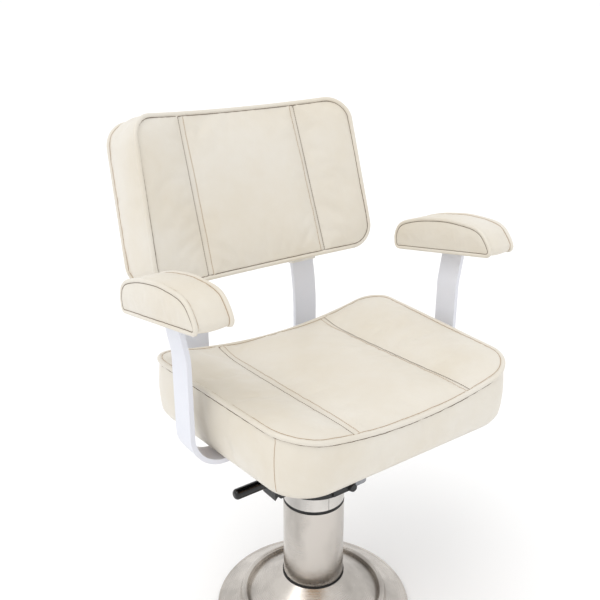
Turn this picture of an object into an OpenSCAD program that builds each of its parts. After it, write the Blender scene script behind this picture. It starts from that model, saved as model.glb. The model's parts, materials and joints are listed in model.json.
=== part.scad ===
// Hair salon styling chair: spun round base, telescopic gas-lift column, swivelling
// head with a height lever, flat-bar frame, and upholstered seat, back and arm pads.
// Millimetres. +Z is up, the sitter faces -Y, and the origin is on the floor, on the
// column's axis.

/* [Base] */
// Diameter of the round base on the floor
base_d = 386; // [380:1:400]
// Height of the cover's neck, where it meets the column
neck_z = 80; // [76:1:84]
// Diameter of the raised bead ring on the cover
bead_d = 277; // [270:1:284]
// Thickness of the cast ballast plate
ballast_t = 14; // [10:1:16]

/* [Column] */
// Outer diameter of the fixed column tube
tube_d = 118; // [117:0.5:119]
// Height of the top of the fixed column tube
tube_top = 249; // [247:0.5:250]
// Wall thickness of the column tubes
tube_wall = 3; // [2.5:0.25:3]
// Outer diameter of the sliding inner tube
inner_d = 108.4; // [108:0.1:108.6]

/* [Head] */
// Radius of the swivel head's skirt
head_r = 71; // [70:0.5:73]
// Height of the skirt's lower edge
head_z = 289; // [288:0.5:291]
// Height of the head's top, under the riser
head_top = 345; // [343:1:350]
// Height of the lever's axis
lever_z = 325; // [324:0.5:326]
// Distance of the lever's tip from the column's axis
lever_reach = 178; // [160:1:190]
// Diameter of the lever's grip
grip_d = 20; // [18:0.5:21]

/* [Flat bars] */
// Thickness of the flat steel bars
bar_t = 8; // [6:0.5:8]
// Width of the arm bars
arm_bar_w = 48; // [44:1:50]
// Distance of an arm bar's outer face from the chair's middle
arm_bar_x = 291; // [289:1:293]
// Position of the arm bars' middle along the seat
arm_bar_y = -42; // [-46:1:-38]
// Width of the back bars
back_bar_w = 52; // [46:1:54]
// Distance of a back bar's middle from the chair's middle
back_bar_x = 129; // [120:1:134]
// Height of the bars' underside below the seat
bar_z = 447; // [446:0.5:448]

/* [Seat] */
// Width of the seat cushion at the front
seat_front_w = 480; // [470:1:490]
// Width of the seat cushion at the rear
seat_rear_w = 516; // [506:1:524]
// Distance of the front edge ahead of the column's axis
seat_front = 264; // [255:1:275]
// Distance of the rear edge behind the column's axis
seat_rear = 135; // [128:1:140]
// Thickness of the seat cushion at its edges
seat_t = 106; // [96:1:112]
// Depth of the hollow along the middle of the cushion's top
seat_dish = 20; // [6:1:24]

/* [Backrest] */
// Width of the backrest
back_w = 466; // [450:1:480]
// Height of the backrest along its slope
back_h = 293; // [276:1:304]
// Thickness of the backrest
back_t = 117; // [115:1:119]
// Lean of the backrest from upright, in degrees
back_lean = 15.5; // [15:0.25:16.5]

/* [Arm pads] */
// Width of an arm pad
pad_w = 57; // [54:0.5:60]
// Distance between the inner faces of the two pads
pad_gap = 528; // [522:1:534]
// Upward tilt of the pads toward the front, in degrees
pad_tilt = 9.8; // [8:0.2:12]

/* [Hidden] */

$fn = 96;
gap = 0.3;          // clearance between pieces that only pass each other
fit = 0.05;         // radial clearance of a running fit
bite = 1;           // how far a cutting shape passes the face that it cuts

// Colours
ivory = [0.91, 0.88, 0.81];
white_coat = [0.93, 0.94, 0.96];
steel = [0.74, 0.73, 0.71];
bright_steel = [0.82, 0.82, 0.82];
dark_iron = [0.25, 0.25, 0.26];
black_coat = [0.07, 0.08, 0.09];
rubber = [0.05, 0.05, 0.05];
nylon = [0.86, 0.86, 0.82];
bronze = [0.70, 0.55, 0.30];
zinc = [0.66, 0.67, 0.67];
plywood = [0.76, 0.60, 0.40];
foam = [0.93, 0.87, 0.66];

// Base and column
base_r = base_d / 2;
bead_r = bead_d / 2;
ballast_r = base_r - 30;
tube_r = tube_d / 2;
tube_bore = tube_r - tube_wall;
inner_r = inner_d / 2;
inner_bore = inner_r - tube_wall;
cover_t = 1.5;
flange_t = 12;
flange_top = ballast_t + flange_t;
flange_r = 92;
flange_bolt_pcd = 150;
bolt_r = 4;                        // M8 shank
bolt_hole_r = bolt_r + gap;
bolt_head_r = 7.5;
bolt_head_t = 5;
ring_z = tube_top;                 // underside of the wiper ring
ring_t = 6;
sleeve_z = ring_z + ring_t + 0.5;
inner_top = 296;
inner_foot = 45;
guide_len = 40;
key_w = 4;                         // keyway that stops the inner tube turning
key_d = 1.2;

// Gas spring
rod_r = 10;
cyl_r = 26;
cyl_bore = 22;
cyl_foot = 50;
cyl_top = 222;
piston_z = 198;
piston_t = 9;
neck_r = 12;
push_r = 4;
push_foot = 227;
push_top = 319.3;

// Swivel
shaft_r = 20;
shaft_foot = 235;
shaft_top = 312;
housing_r = 24;
washer_top = 300;
web_t = 10;                        // head's web, on the shaft's flange
web_z = 302;
head_bore = 59.6;                  // clears the sleeve
head_wall_r = 66;
cavity_r = 54;
riser_x = 140;
riser_y = 110;
riser_wall = 4;
plate_t = 6;
plate_z = bar_z - plate_t;
plate_x = 340;
plate_y0 = -78;
plate_y1 = 122;

// Lever
pivot_x = -42;
pin_r = 4;
lever_r = 5;
hub_r = 7;
hub_w = 10;
cheek_t = 3;
cheek_y = 11;
guard_x = -103;
grip_root = -108;

// Bars
bend_r = 58;                       // bend radius at the middle of the bar
arm_x = arm_bar_x - bar_t / 2;     // middle plane of an arm bar
bar_mid_z = bar_z + bar_t / 2;
arm_root = 60;                     // inner end of an arm bar
arm_flare_z = 632;
arm_flare = 10;
arm_flare_r = 120;
arm_tip = 74;                      // straight length above the flare
back_root = 8;                     // front end of a back bar
back_bar_y = 205;                  // middle plane of a back bar where it stands upright
back_curve_z = 545;
back_curve_r = 450;
back_tip = 178;

// Seat
board_t = 12.4;
board_z = bar_z + bar_t;
seat_z = board_z + board_t + gap;
front_corner = 69;
rear_corner = 49;
board_inset = 30;
cover_skin = 2;                    // vinyl and its backing over the foam
arm_bolts_x = [84, 150];
back_bolts_y = [34, 88];

// Backrest, in its own frame: X across, Y up the slope, Z from the front face rearward
back_y = 125;
back_z = 688;
back_corner = 42;
back_dish_foot = 18;               // hollow of the front at the bottom and at the top
back_dish_top = 44;
panel_t = 9;
pocket_in = 26;                    // wall of foam round the board
curve_end_y = back_bar_y + back_curve_r * (1 - cos(back_lean));
curve_end_z = back_curve_z + back_curve_r * sin(back_lean);
bar_depth = (curve_end_y - back_y) * cos(back_lean)
          - (curve_end_z - back_z) * sin(back_lean);
back_board_t = 12;
back_board_z = bar_depth - bar_t / 2 - back_board_t;
panel_z = back_t - panel_t;
screw_up = [60, 100, 140, 180];
collar_drop = 16;
collar_w = 62;
collar_t = 14;

// Arm pads, in a side frame: X forward along the pad's underside, Y up
pad_y = 78;
pad_z = 686;
pad_x = pad_gap / 2;
core_u0 = 22;
core_u1 = 200;
core_v0 = 0.5;
core_v1 = 22;
core_side = 7;                     // upholstery left on each side of the core
screw_u = [110, 128];
screw_r = 2.5;
screw_head_r = 5;

// ---- shared shapes ----

module ring(r_out, r_in, z0, z1) {
    translate([0, 0, z0])
        difference() {
            cylinder(r = r_out, h = z1 - z0);
            translate([0, 0, -bite]) cylinder(r = r_in, h = z1 - z0 + 2 * bite);
        }
}

// Outline of a flat bar bent along a path of [across, up, direction in degrees]
function bar_outline(path, half) = concat(
    [for (p = path) [p[0] - half * sin(p[2]), p[1] + half * cos(p[2])]],
    [for (i = [len(path) - 1 : -1 : 0]) let (p = path[i])
        [p[0] + half * sin(p[2]), p[1] - half * cos(p[2])]]
);

// Path that runs out level, turns up at x1, leans outward from height z1, and ends straight
function bar_path(x0, x1, z1, lean_r, lean, tip) = concat(
    [[x0, bar_mid_z, 0]],
    [for (a = [0 : 3 : 90])
        [x1 - bend_r * (1 - sin(a)), bar_mid_z + bend_r * (1 - cos(a)), a]],
    [for (i = [0 : 8]) let (a = lean * i / 8)
        [x1 + lean_r * (1 - cos(a)), z1 + lean_r * sin(a), 90 - a]],
    [[x1 + lean_r * (1 - cos(lean)) + tip * sin(lean),
      z1 + lean_r * sin(lean) + tip * cos(lean), 90 - lean]]
);

module bolt(shank, head_t = bolt_head_t) {
    translate([0, 0, -head_t]) cylinder(r = bolt_head_r, h = head_t, $fn = 6);
    cylinder(r = bolt_r, h = shank, $fn = 32);
}

// Corner points of a rounded outline, front edge first, anticlockwise
function arc(cx, cy, r, a0, a1, n = 12) =
    [for (i = [0 : n]) let (a = a0 + (a1 - a0) * i / n) [cx + r * cos(a), cy + r * sin(a)]];

function seat_outline(inset) =
    let (
        fx = seat_front_w / 2 - inset,
        rx = seat_rear_w / 2 - inset,
        fr = front_corner - inset,
        rr = rear_corner - inset,
        fy = -seat_front + inset,
        ry = seat_rear - inset,
        taper = atan((rx - fx) / (ry - fy))
    )
    concat(
        arc(fx - fr, fy + fr, fr, -90, -taper),
        arc(rx - rr, ry - rr, rr, -taper, 90),
        arc(-rx + rr, ry - rr, rr, 90, 180 + taper),
        arc(-fx + fr, fy + fr, fr, 180 + taper, 270)
    );

module rounded_plate(w, h, r) {
    translate([-w / 2 + r, 0]) square([w - 2 * r, h]);
    translate([-w / 2, r]) square([w, h - 2 * r]);
    for (x = [-w / 2 + r, w / 2 - r], y = [r, h - r]) translate([x, y]) circle(r = r);
}

// Places children in the backrest's frame
module on_back() {
    translate([0, back_y, back_z]) rotate([90 - back_lean, 0, 0])
        mirror([0, 0, 1]) children();
}

// Places children in an arm pad's side frame; side is -1 for left, 1 for right
module on_arm(side) {
    translate([side * pad_x, pad_y, pad_z])
        mirror([side < 0 ? 1 : 0, 0, 0])
            rotate([-pad_tilt, 0, 0])
                rotate([90, 0, -90]) mirror([0, 0, 1]) children();
}

// ---- base ----

module base_cover() {
    slope_r = bead_r - 7;
    slope_z = 28;
    color(steel) rotate_extrude($fn = 180) polygon(concat(
        [[tube_r + 1.2, neck_z], [tube_r + 2.6, neck_z]],
        [[slope_r, slope_z + 2]],
        arc(bead_r, 33, 6, 150, 10, 10),
        [[bead_r + 9, 27], [base_r - 5, 6]],
        arc(base_r - 3.5, 3.5, 3.5, 50, -90, 6),
        [[base_r - 3.5, cover_t], [base_r - 7, 4.4], [bead_r + 8, 25]],
        arc(bead_r, 32, 4.5, 10, 150, 10),
        [[slope_r - 1, slope_z]]
    ));
}

module ballast_plate() {
    color(dark_iron) difference() {
        cylinder(r = ballast_r, h = ballast_t);
        for (a = [30 : 60 : 330])
            rotate(a) translate([flange_bolt_pcd / 2, 0, 5])
                cylinder(r = bolt_hole_r, h = ballast_t);
    }
}

module floor_ring() {
    color(rubber) ring(base_r - 9, ballast_r + gap, 0, 4);
}

module column_flange() {
    color(dark_iron) difference() {
        union() {
            translate([0, 0, ballast_t]) cylinder(r = flange_r, h = flange_t);
            translate([0, 0, flange_top]) cylinder(r = 30, h = 14);
        }
        translate([0, 0, ballast_t + 4]) cylinder(r = rod_r, h = 60);
        for (a = [30 : 60 : 330])
            rotate(a) translate([flange_bolt_pcd / 2, 0, 0])
                cylinder(r = bolt_hole_r, h = 60);
    }
}

module flange_bolts() {
    color(zinc) for (a = [30 : 60 : 330])
        rotate(a) translate([flange_bolt_pcd / 2, 0, flange_top])
            mirror([0, 0, 1]) bolt(flange_t + 7);
}

module outer_tube() {
    color(steel) ring(tube_r, tube_bore, flange_top, tube_top);
}

module foot_ring() {
    color(rubber) ring(tube_r + 1.8, tube_r, neck_z, neck_z + 3);
}

module wiper_ring() {
    color(rubber) ring(tube_r - 0.6, inner_r + gap, ring_z, ring_z + ring_t);
}

module guide_bush() {
    color(nylon) {
        ring(tube_bore, inner_r + fit, tube_top - guide_len, tube_top);
        translate([-key_w / 2 + 0.2, -inner_r - fit - 0.2, tube_top - guide_len])
            cube([key_w - 0.4, key_d, guide_len]);
    }
}

module piston_rod() {
    color(bright_steel) {
        translate([0, 0, ballast_t + 4])
            cylinder(r = rod_r, h = piston_z - ballast_t - 4);
        translate([0, 0, piston_z]) cylinder(r = cyl_bore - fit, h = piston_t);
    }
}

// ---- lift ----

module inner_tube() {
    color(bright_steel) difference() {
        ring(inner_r, inner_bore, inner_foot, inner_top);
        translate([-key_w / 2, -inner_r - bite, inner_foot - bite])
            cube([key_w, bite + key_d + 0.3, inner_top]);
    }
}

module lower_bush() {
    color(nylon) ring(tube_bore - gap, inner_r, inner_foot, inner_foot + 30);
}

module gas_cylinder() {
    color(dark_iron) rotate_extrude() polygon([
        [rod_r + fit, cyl_foot], [cyl_r, cyl_foot], [cyl_r, cyl_top],
        [neck_r, cyl_top], [neck_r, cyl_top + 12], [push_r + gap, cyl_top + 12],
        [push_r + gap, cyl_top - 4], [0, cyl_top - 4], [0, cyl_top - 9],
        [cyl_bore, cyl_top - 9], [cyl_bore, cyl_foot + 12],
        [rod_r + fit, cyl_foot + 12]
    ]);
}

module cylinder_mount() {
    color(dark_iron) ring(inner_bore, neck_r, cyl_top, cyl_top + 8);
}

module bearing_housing() {
    color(zinc) ring(inner_bore, housing_r, cyl_top + 10, inner_top - 4);
}

module swivel_bushes() {
    color(bronze) for (z = [244, 272])
        ring(housing_r, shaft_r + fit, z, z + 18);
}

module thrust_washer() {
    color(bronze) ring(inner_bore - 0.5, shaft_r + gap, inner_top - 4, washer_top);
}

module cover_sleeve() {
    slit_w = 0.8;
    color(bright_steel) difference() {
        ring(tube_r - 0.4, inner_r + gap, sleeve_z, inner_top);
        translate([-9, -tube_r - bite, sleeve_z - bite])
            cube([slit_w, 8, inner_top]);
    }
}

module push_rod() {
    color(bright_steel) {
        translate([0, 0, push_foot]) cylinder(r = push_r, h = push_top - push_foot - 2);
        translate([0, 0, push_top - 2]) cylinder(r1 = push_r, r2 = push_r - 2.5, h = 2);
    }
}

// ---- seat head ----

module swivel_shaft() {
    color(steel) difference() {
        union() {
            translate([0, 0, shaft_foot])
                cylinder(r = shaft_r, h = shaft_top - shaft_foot);
            translate([0, 0, washer_top + gap])
                cylinder(r = 40, h = web_z - washer_top - gap);
        }
        translate([0, 0, shaft_foot - bite]) cylinder(r = push_r + gap, h = 100);
        translate([0, 0, shaft_foot + 3])
            difference() {
                cylinder(r = shaft_r + bite, h = 2.2);
                translate([0, 0, -bite]) cylinder(r = shaft_r - 2, h = 5);
            }
    }
}

module shaft_clip() {
    color(zinc) difference() {
        ring(housing_r - 1, shaft_r - 2, shaft_foot + 3.1, shaft_foot + 5.1);
        translate([0, -3, shaft_foot]) cube([60, 6, 20]);
    }
}

module swivel_head() {
    color(black_coat) difference() {
        union() {
            rotate_extrude() polygon([
                [head_bore, head_z], [head_r - 2, head_z], [head_r, head_z + 2],
                [head_r, head_z + 12], [head_wall_r, head_z + 20],
                [head_wall_r, head_top], [cavity_r, head_top], [cavity_r, web_z + web_t],
                [shaft_r, web_z + web_t], [shaft_r, web_z], [head_bore, web_z]
            ]);
            // lug that holds the swivel brake
            translate([-10, -74, head_z + 4]) cube([52, 24, 34]);
        }
        translate([0, 0, head_z - bite]) cylinder(r = head_bore, h = web_z - head_z + bite);
        translate([0, 0, web_z + web_t]) cylinder(r = cavity_r, h = 60);
        // window for the lever
        translate([-head_r, -lever_r - 1.5, lever_z - 7])
            cube([head_r - cavity_r + 6, 2 * lever_r + 3, 16]);
        // slot and hole for the brake
        translate([-2, -68.3, head_z - bite]) cube([60, 6.6, 60]);
        translate([33, -80, head_z + 10]) rotate([-90, 0, 0]) cylinder(r = 5 + gap, h = 17);
        for (a = [45 : 90 : 315])
            rotate(a) translate([60, 0, head_top - 18]) cylinder(r = bolt_hole_r, h = 30);
    }
}

module head_bolts() {
    color(zinc) for (a = [45 : 90 : 315])
        rotate(a) translate([60, 0, head_top + riser_wall])
            mirror([0, 0, 1]) bolt(riser_wall + 15);
}

module seat_riser() {
    z1 = plate_z;
    color(black_coat) difference() {
        translate([-riser_x / 2, -riser_y / 2, head_top])
            cube([riser_x, riser_y, z1 - head_top]);
        translate([-riser_x / 2 + riser_wall, -riser_y / 2 + riser_wall,
                   head_top + riser_wall])
            cube([riser_x - 2 * riser_wall, riser_y - 2 * riser_wall, z1]);
        for (a = [45 : 90 : 315])
            rotate(a) translate([60, 0, head_top - bite]) cylinder(r = bolt_hole_r, h = 30);
    }
}

// Drills a hole at every place where a bolt fastens the bars to the seat
module seat_bolt_places() {
    for (side = [-1, 1]) {
        for (x = arm_bolts_x) translate([side * x, arm_bar_y, 0]) children();
        for (y = back_bolts_y) translate([side * back_bar_x, y, 0]) children();
    }
}

module seat_bolt_holes() {
    seat_bolt_places() translate([0, 0, plate_z - bite]) cylinder(r = bolt_hole_r, h = 40);
}

module seat_plate() {
    color(black_coat) difference() {
        translate([-plate_x / 2, plate_y0, plate_z])
            cube([plate_x, plate_y1 - plate_y0, plate_t]);
        seat_bolt_holes();
    }
}

module seat_bolts() {
    color(zinc) seat_bolt_places() translate([0, 0, plate_z])
        bolt(plate_t + bar_t + board_t - 3);
}

module lever_bracket() {
    z0 = web_z + web_t;
    color(zinc) difference() {
        translate([pivot_x - 9, -cheek_y - cheek_t, z0])
            cube([18, 2 * (cheek_y + cheek_t), lever_z - z0 + 9]);
        translate([pivot_x - 10, -cheek_y, z0 + 1.5])
            cube([20, 2 * cheek_y, 60]);
        translate([pivot_x, 30, lever_z]) rotate([90, 0, 0]) cylinder(r = pin_r, h = 60);
    }
}

module lever_guard() {
    color(black_coat) difference() {
        translate([guard_x, -20, head_z + 4]) cube([-guard_x - 40, 40, 52]);
        translate([0, 0, head_z - bite]) cylinder(r = head_r + gap, h = 80);
        translate([guard_x - bite, -lever_r - 1.5, lever_z - 7]) cube([60, 2 * lever_r + 3, 24]);
        // lower corner cut away
        translate([guard_x, -30, head_z + 4]) rotate([0, 45, 0])
            cube([9, 60, 9], center = false);
    }
    // bridge that joins the guard to the head's wall
    color(black_coat) difference() {
        translate([-head_r - 2, -20, head_z + 21]) cube([8, 40, 35]);
        cylinder(r = head_wall_r, h = 400);
        translate([-100, -lever_r - 1.5, lever_z - 7]) cube([60, 2 * lever_r + 3, 24]);
    }
}

module lever_pin() {
    half = cheek_y + cheek_t + 1;
    color(bright_steel) translate([pivot_x, half, lever_z])
        rotate([90, 0, 0]) cylinder(r = pin_r, h = 2 * half);
}

module lever_spring() {
    wire = 0.9;
    color(steel) translate([pivot_x, 0, lever_z]) rotate([90, 0, 0])
        for (side = [0, 1]) mirror([0, 0, side])
            for (i = [0 : 1])
                translate([0, 0, hub_w / 2 + 1.6 + 2 * wire * i])
                    rotate_extrude($fn = 48) translate([6.2, 0]) circle(r = wire, $fn = 16);
}

module brake_plate() {
    x1 = 73;
    z0 = head_z + 2;
    h = 24;
    r = 6;
    color(zinc) difference() {
        union() {
            translate([0, -68, z0]) cube([x1 - r, 6, h]);
            translate([0, -68, z0 + r]) cube([x1, 6, h - 2 * r]);
            for (z = [z0 + r, z0 + h - r])
                translate([x1 - r, -62, z]) rotate([90, 0, 0]) cylinder(r = r, h = 6);
        }
        translate([33, -80, head_z + 10]) rotate([-90, 0, 0]) cylinder(r = 5 + gap, h = 40);
    }
}

module brake_bolt() {
    color(black_coat) translate([33, 0, head_z + 10]) {
        translate([0, -74, 0]) rotate([90, 0, 0]) cylinder(r1 = 9, r2 = 7.5, h = 6);
        translate([0, -74, 0]) rotate([-90, 0, 0]) cylinder(r = 5, h = 10);
    }
}

// ---- bars ----

module arm_bar_path(grow = 0) {
    path = bar_path(arm_root, arm_x, arm_flare_z, arm_flare_r, arm_flare, arm_tip);
    translate([0, arm_bar_y, 0]) rotate([90, 0, 0])
        linear_extrude(arm_bar_w + 2 * grow, center = true)
            polygon(bar_outline(path, bar_t / 2 + grow));
}

module arm_bar(side) {
    color(white_coat) difference() {
        mirror([side < 0 ? 1 : 0, 0, 0]) arm_bar_path();
        seat_bolt_holes();
        arm_screw_places(side) cylinder(r = screw_r + gap, h = 2 * pad_w, center = true, $fn = 32);
    }
}

module arm_bar_left() { arm_bar(-1); }
module arm_bar_right() { arm_bar(1); }

module back_bar_path(grow = 0) {
    path = bar_path(back_root, back_bar_y, back_curve_z, back_curve_r, back_lean, back_tip);
    translate([back_bar_x, 0, 0]) rotate([90, 0, 90])
        linear_extrude(back_bar_w + 2 * grow, center = true)
            polygon(bar_outline(path, bar_t / 2 + grow));
}

module back_bar(side) {
    color(white_coat) difference() {
        mirror([side < 0 ? 1 : 0, 0, 0]) back_bar_path();
        seat_bolt_holes();
        back_screw_places() cylinder(r = screw_r + gap, h = 60, center = true, $fn = 32);
    }
}

module back_bar_left() { back_bar(-1); }
module back_bar_right() { back_bar(1); }

// ---- seat ----

module seat_board() {
    color(plywood) difference() {
        translate([0, 0, board_z]) linear_extrude(board_t)
            polygon(seat_outline(board_inset));
        seat_bolt_holes();
    }
}

// Cushion block with a hollow along its middle; inset leaves room for the cover
module seat_block(inset) {
    half = seat_front_w / 2;
    dish_r = (half * half + seat_dish * seat_dish) / (2 * seat_dish);
    difference() {
        translate([0, 0, seat_z]) linear_extrude(seat_t - inset) polygon(seat_outline(inset));
        translate([0, 400, seat_z + seat_t - seat_dish + dish_r])
            rotate([90, 0, 0]) cylinder(r = dish_r + inset, h = 900, $fn = 360);
    }
}

module seat_foam() {
    color(foam) seat_block(cover_skin);
}

module seat_cover() {
    color(ivory) difference() {
        seat_block(0);
        seat_block(cover_skin);
    }
}

// ---- backrest ----

module back_screw_places() {
    on_back() for (x = [-1, 1], y = screw_up)
        translate([x * back_bar_x, y, bar_depth + bar_t / 2]) children();
}

module back_board() {
    color(plywood) difference() {
        on_back() translate([0, pocket_in + gap, back_board_z])
            linear_extrude(back_board_t - gap)
                rounded_plate(back_w - 2 * pocket_in - 2 * gap,
                              back_h - 2 * pocket_in - 2 * gap, back_corner - pocket_in);
        back_screw_places() cylinder(r = screw_r, h = 38, center = true, $fn = 32);
    }
}

// Cylinder that hollows the backrest's front, deeper at the top than at the bottom
module front_hollow(inset) {
    half = back_w / 2;
    r = (half * half + back_dish_top * back_dish_top) / (2 * back_dish_top);
    slope = atan((back_dish_top - back_dish_foot) / back_h);
    translate([0, 0, back_dish_foot - r]) rotate([slope - 90, 0, 0])
        cylinder(r = r + inset, h = 3 * back_h, center = true, $fn = 360);
}

module back_block(inset) {
    on_back() difference() {
        translate([0, inset, inset]) linear_extrude(panel_z - gap - inset)
            rounded_plate(back_w - 2 * inset, back_h - 2 * inset, back_corner - inset);
        front_hollow(inset);
    }
}

// Pocket for the board, and the slots where the bars come in from below
module back_openings() {
    on_back() translate([0, pocket_in, back_board_z - gap])
        linear_extrude(60)
            rounded_plate(back_w - 2 * pocket_in, back_h - 2 * pocket_in,
                          back_corner - pocket_in);
    on_back() for (x = [-1, 1])
        translate([x * back_bar_x - collar_w / 2, -bite, bar_depth - collar_t / 2 - 3])
            cube([collar_w, pocket_in + 2 * bite, 60]);
}

module back_foam() {
    color(foam) difference() {
        back_block(cover_skin);
        back_openings();
    }
}

module back_cover() {
    color(ivory) difference() {
        back_block(0);
        back_block(cover_skin);
        back_openings();
    }
}

module rear_panel() {
    color(ivory) on_back() translate([0, 0, panel_z])
        linear_extrude(panel_t) rounded_plate(back_w, back_h, back_corner);
}

module back_screws() {
    color(zinc) back_screw_places() {
        cylinder(r = screw_head_r, h = 2.4, $fn = 32);
        translate([0, 0, -bar_t - 9]) cylinder(r = screw_r, h = bar_t + 9, $fn = 32);
    }
}

module bar_collar(side) {
    color(white_coat) difference() {
        on_back() translate([side * back_bar_x, 0, bar_depth - collar_t / 2 - 2])
            linear_extrude(collar_t) polygon([
                [-back_bar_w / 2 - 2, -collar_drop], [back_bar_w / 2 + 2, -collar_drop],
                [collar_w / 2 - gap, -collar_drop + 12], [collar_w / 2 - gap, pocket_in - gap],
                [-collar_w / 2 + gap, pocket_in - gap], [-collar_w / 2 + gap, -collar_drop + 12]
            ]);
        mirror([side < 0 ? 1 : 0, 0, 0]) back_bar_path(gap);
    }
}

module bar_collar_left() { bar_collar(-1); }
module bar_collar_right() { bar_collar(1); }

// ---- arms ----

module pad_profile() {
    hull() {
        for (c = [[6, 8, 8], [23, 27, 24], [76, 40, 20], [142, 41, 20],
                  [209, 26, 24], [231, 9, 9]])
            translate([c[0], c[1]]) circle(r = c[2], $fn = 48);
    }
}

module arm_pad(side) {
    color(ivory) difference() {
        on_arm(side) linear_extrude(pad_w) pad_profile();
        on_arm(side) translate([core_u0 - gap, -5, core_side - gap])
            cube([core_u1 - core_u0 + 2 * gap, core_v1 + gap + 5, pad_w - 2 * core_side + 2 * gap]);
        mirror([side < 0 ? 1 : 0, 0, 0]) arm_bar_path(0.8);
    }
}

module arm_pad_left() { arm_pad(-1); }
module arm_pad_right() { arm_pad(1); }

module arm_screw_places(side) {
    on_arm(side) for (u = screw_u)
        translate([u, core_v0 + 10, core_side + 4]) children();
}

module arm_core(side) {
    color(plywood) difference() {
        on_arm(side) translate([core_u0, core_v0, core_side])
            cube([core_u1 - core_u0, core_v1 - core_v0, pad_w - 2 * core_side]);
        mirror([side < 0 ? 1 : 0, 0, 0]) arm_bar_path(gap);
        arm_screw_places(side) {
            translate([0, 0, -9]) cylinder(r = screw_head_r + gap, h = 9, $fn = 32);
            cylinder(r = screw_r + gap, h = 28, $fn = 32);
        }
    }
}

module arm_core_left() { arm_core(-1); }
module arm_core_right() { arm_core(1); }

module arm_screws() {
    color(zinc) for (side = [-1, 1]) arm_screw_places(side) {
        translate([0, 0, -3]) cylinder(r = screw_head_r, h = 3, $fn = 32);
        cylinder(r = screw_r, h = 26, $fn = 32);
    }
}

// ---- lever ----

module lever_rod() {
    color(bright_steel) difference() {
        union() {
            translate([-lever_reach + 8, 0, lever_z]) rotate([0, 90, 0])
                cylinder(r = lever_r, h = lever_reach - 4);
            translate([pivot_x, hub_w / 2, lever_z]) rotate([90, 0, 0])
                cylinder(r = hub_r, h = hub_w);
        }
        translate([pivot_x, 30, lever_z]) rotate([90, 0, 0])
            cylinder(r = pin_r + fit, h = 60);
    }
}

module lever_grip() {
    grip_r = grip_d / 2;
    dome = 7;
    color(rubber) translate([0, 0, lever_z]) rotate([0, -90, 0]) rotate_extrude()
        polygon(concat(
            [[lever_r, -grip_root], [grip_r - 1, -grip_root], [grip_r, -grip_root + 1]],
            [for (a = [0 : 10 : 80])
                [grip_r - dome + dome * cos(a), lever_reach - dome + dome * sin(a)]],
            [[0, lever_reach], [0, lever_reach - 8], [lever_r, lever_reach - 8]]
        ));
}

base_cover();
ballast_plate();
floor_ring();
column_flange();
flange_bolts();
outer_tube();
foot_ring();
wiper_ring();
guide_bush();
piston_rod();
inner_tube();
lower_bush();
gas_cylinder();
cylinder_mount();
bearing_housing();
swivel_bushes();
thrust_washer();
cover_sleeve();
push_rod();
swivel_shaft();
shaft_clip();
swivel_head();
head_bolts();
seat_riser();
seat_plate();
lever_bracket();
lever_guard();
lever_pin();
lever_spring();
brake_plate();
brake_bolt();
seat_bolts();
arm_bar_left();
arm_bar_right();
back_bar_left();
back_bar_right();
seat_board();
seat_foam();
seat_cover();
back_board();
back_foam();
back_cover();
rear_panel();
back_screws();
bar_collar_left();
bar_collar_right();
arm_core_left();
arm_core_right();
arm_pad_left();
arm_pad_right();
arm_screws();
lever_rod();
lever_grip();
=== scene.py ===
import json
import math

import bpy
import numpy as np
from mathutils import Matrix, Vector, geometry


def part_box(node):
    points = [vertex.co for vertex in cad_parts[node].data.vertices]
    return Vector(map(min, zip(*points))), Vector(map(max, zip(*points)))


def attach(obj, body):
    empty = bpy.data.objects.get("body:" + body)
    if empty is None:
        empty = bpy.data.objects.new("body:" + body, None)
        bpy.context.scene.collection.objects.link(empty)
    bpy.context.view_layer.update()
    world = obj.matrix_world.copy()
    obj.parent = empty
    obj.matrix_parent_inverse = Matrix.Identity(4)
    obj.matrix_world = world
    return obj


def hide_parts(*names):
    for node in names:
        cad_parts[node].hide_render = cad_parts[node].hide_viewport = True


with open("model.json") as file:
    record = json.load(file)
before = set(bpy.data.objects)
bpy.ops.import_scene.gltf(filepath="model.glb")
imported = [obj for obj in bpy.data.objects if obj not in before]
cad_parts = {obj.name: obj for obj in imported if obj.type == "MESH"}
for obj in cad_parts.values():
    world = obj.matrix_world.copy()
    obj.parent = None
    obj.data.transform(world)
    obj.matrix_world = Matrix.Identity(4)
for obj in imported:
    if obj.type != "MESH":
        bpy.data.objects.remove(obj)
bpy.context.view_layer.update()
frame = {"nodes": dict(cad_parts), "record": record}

cad_nodes = frame["nodes"]

MM = 0.001
BACK_LEAN = math.radians(15.5)      # backrest from upright, as in the CAD
PAD_TILT = math.radians(9.8)        # arm pads from level, as in the CAD
PANEL_THICKNESS = 9 * MM             # backrest's rear panel, as in the CAD
UP = Vector((0, 0, 1))
ACROSS = Vector((1, 0, 0))

bpy.context.scene.view_settings.view_transform = "Standard"


# ---------------------------------------------------------------- camera

CAMERA_PLACE = (-0.7920, -1.0391, 1.1585)
LOOKS_DOWN = 0.367                  # radians below level
TURNED_RIGHT = 0.631                # radians from the +Y axis
LENS = 48.0
SENSOR_WIDTH = 36.0


def make_camera():
    data = bpy.data.cameras.new("camera")
    data.lens = LENS
    data.sensor_width = SENSOR_WIDTH
    camera = bpy.data.objects.new("camera", data)
    camera.location = CAMERA_PLACE
    camera.rotation_euler = (math.pi / 2 - LOOKS_DOWN, 0, -TURNED_RIGHT)
    bpy.context.scene.collection.objects.link(camera)
    bpy.context.scene.camera = camera


# ---------------------------------------------------------------- materials

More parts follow.
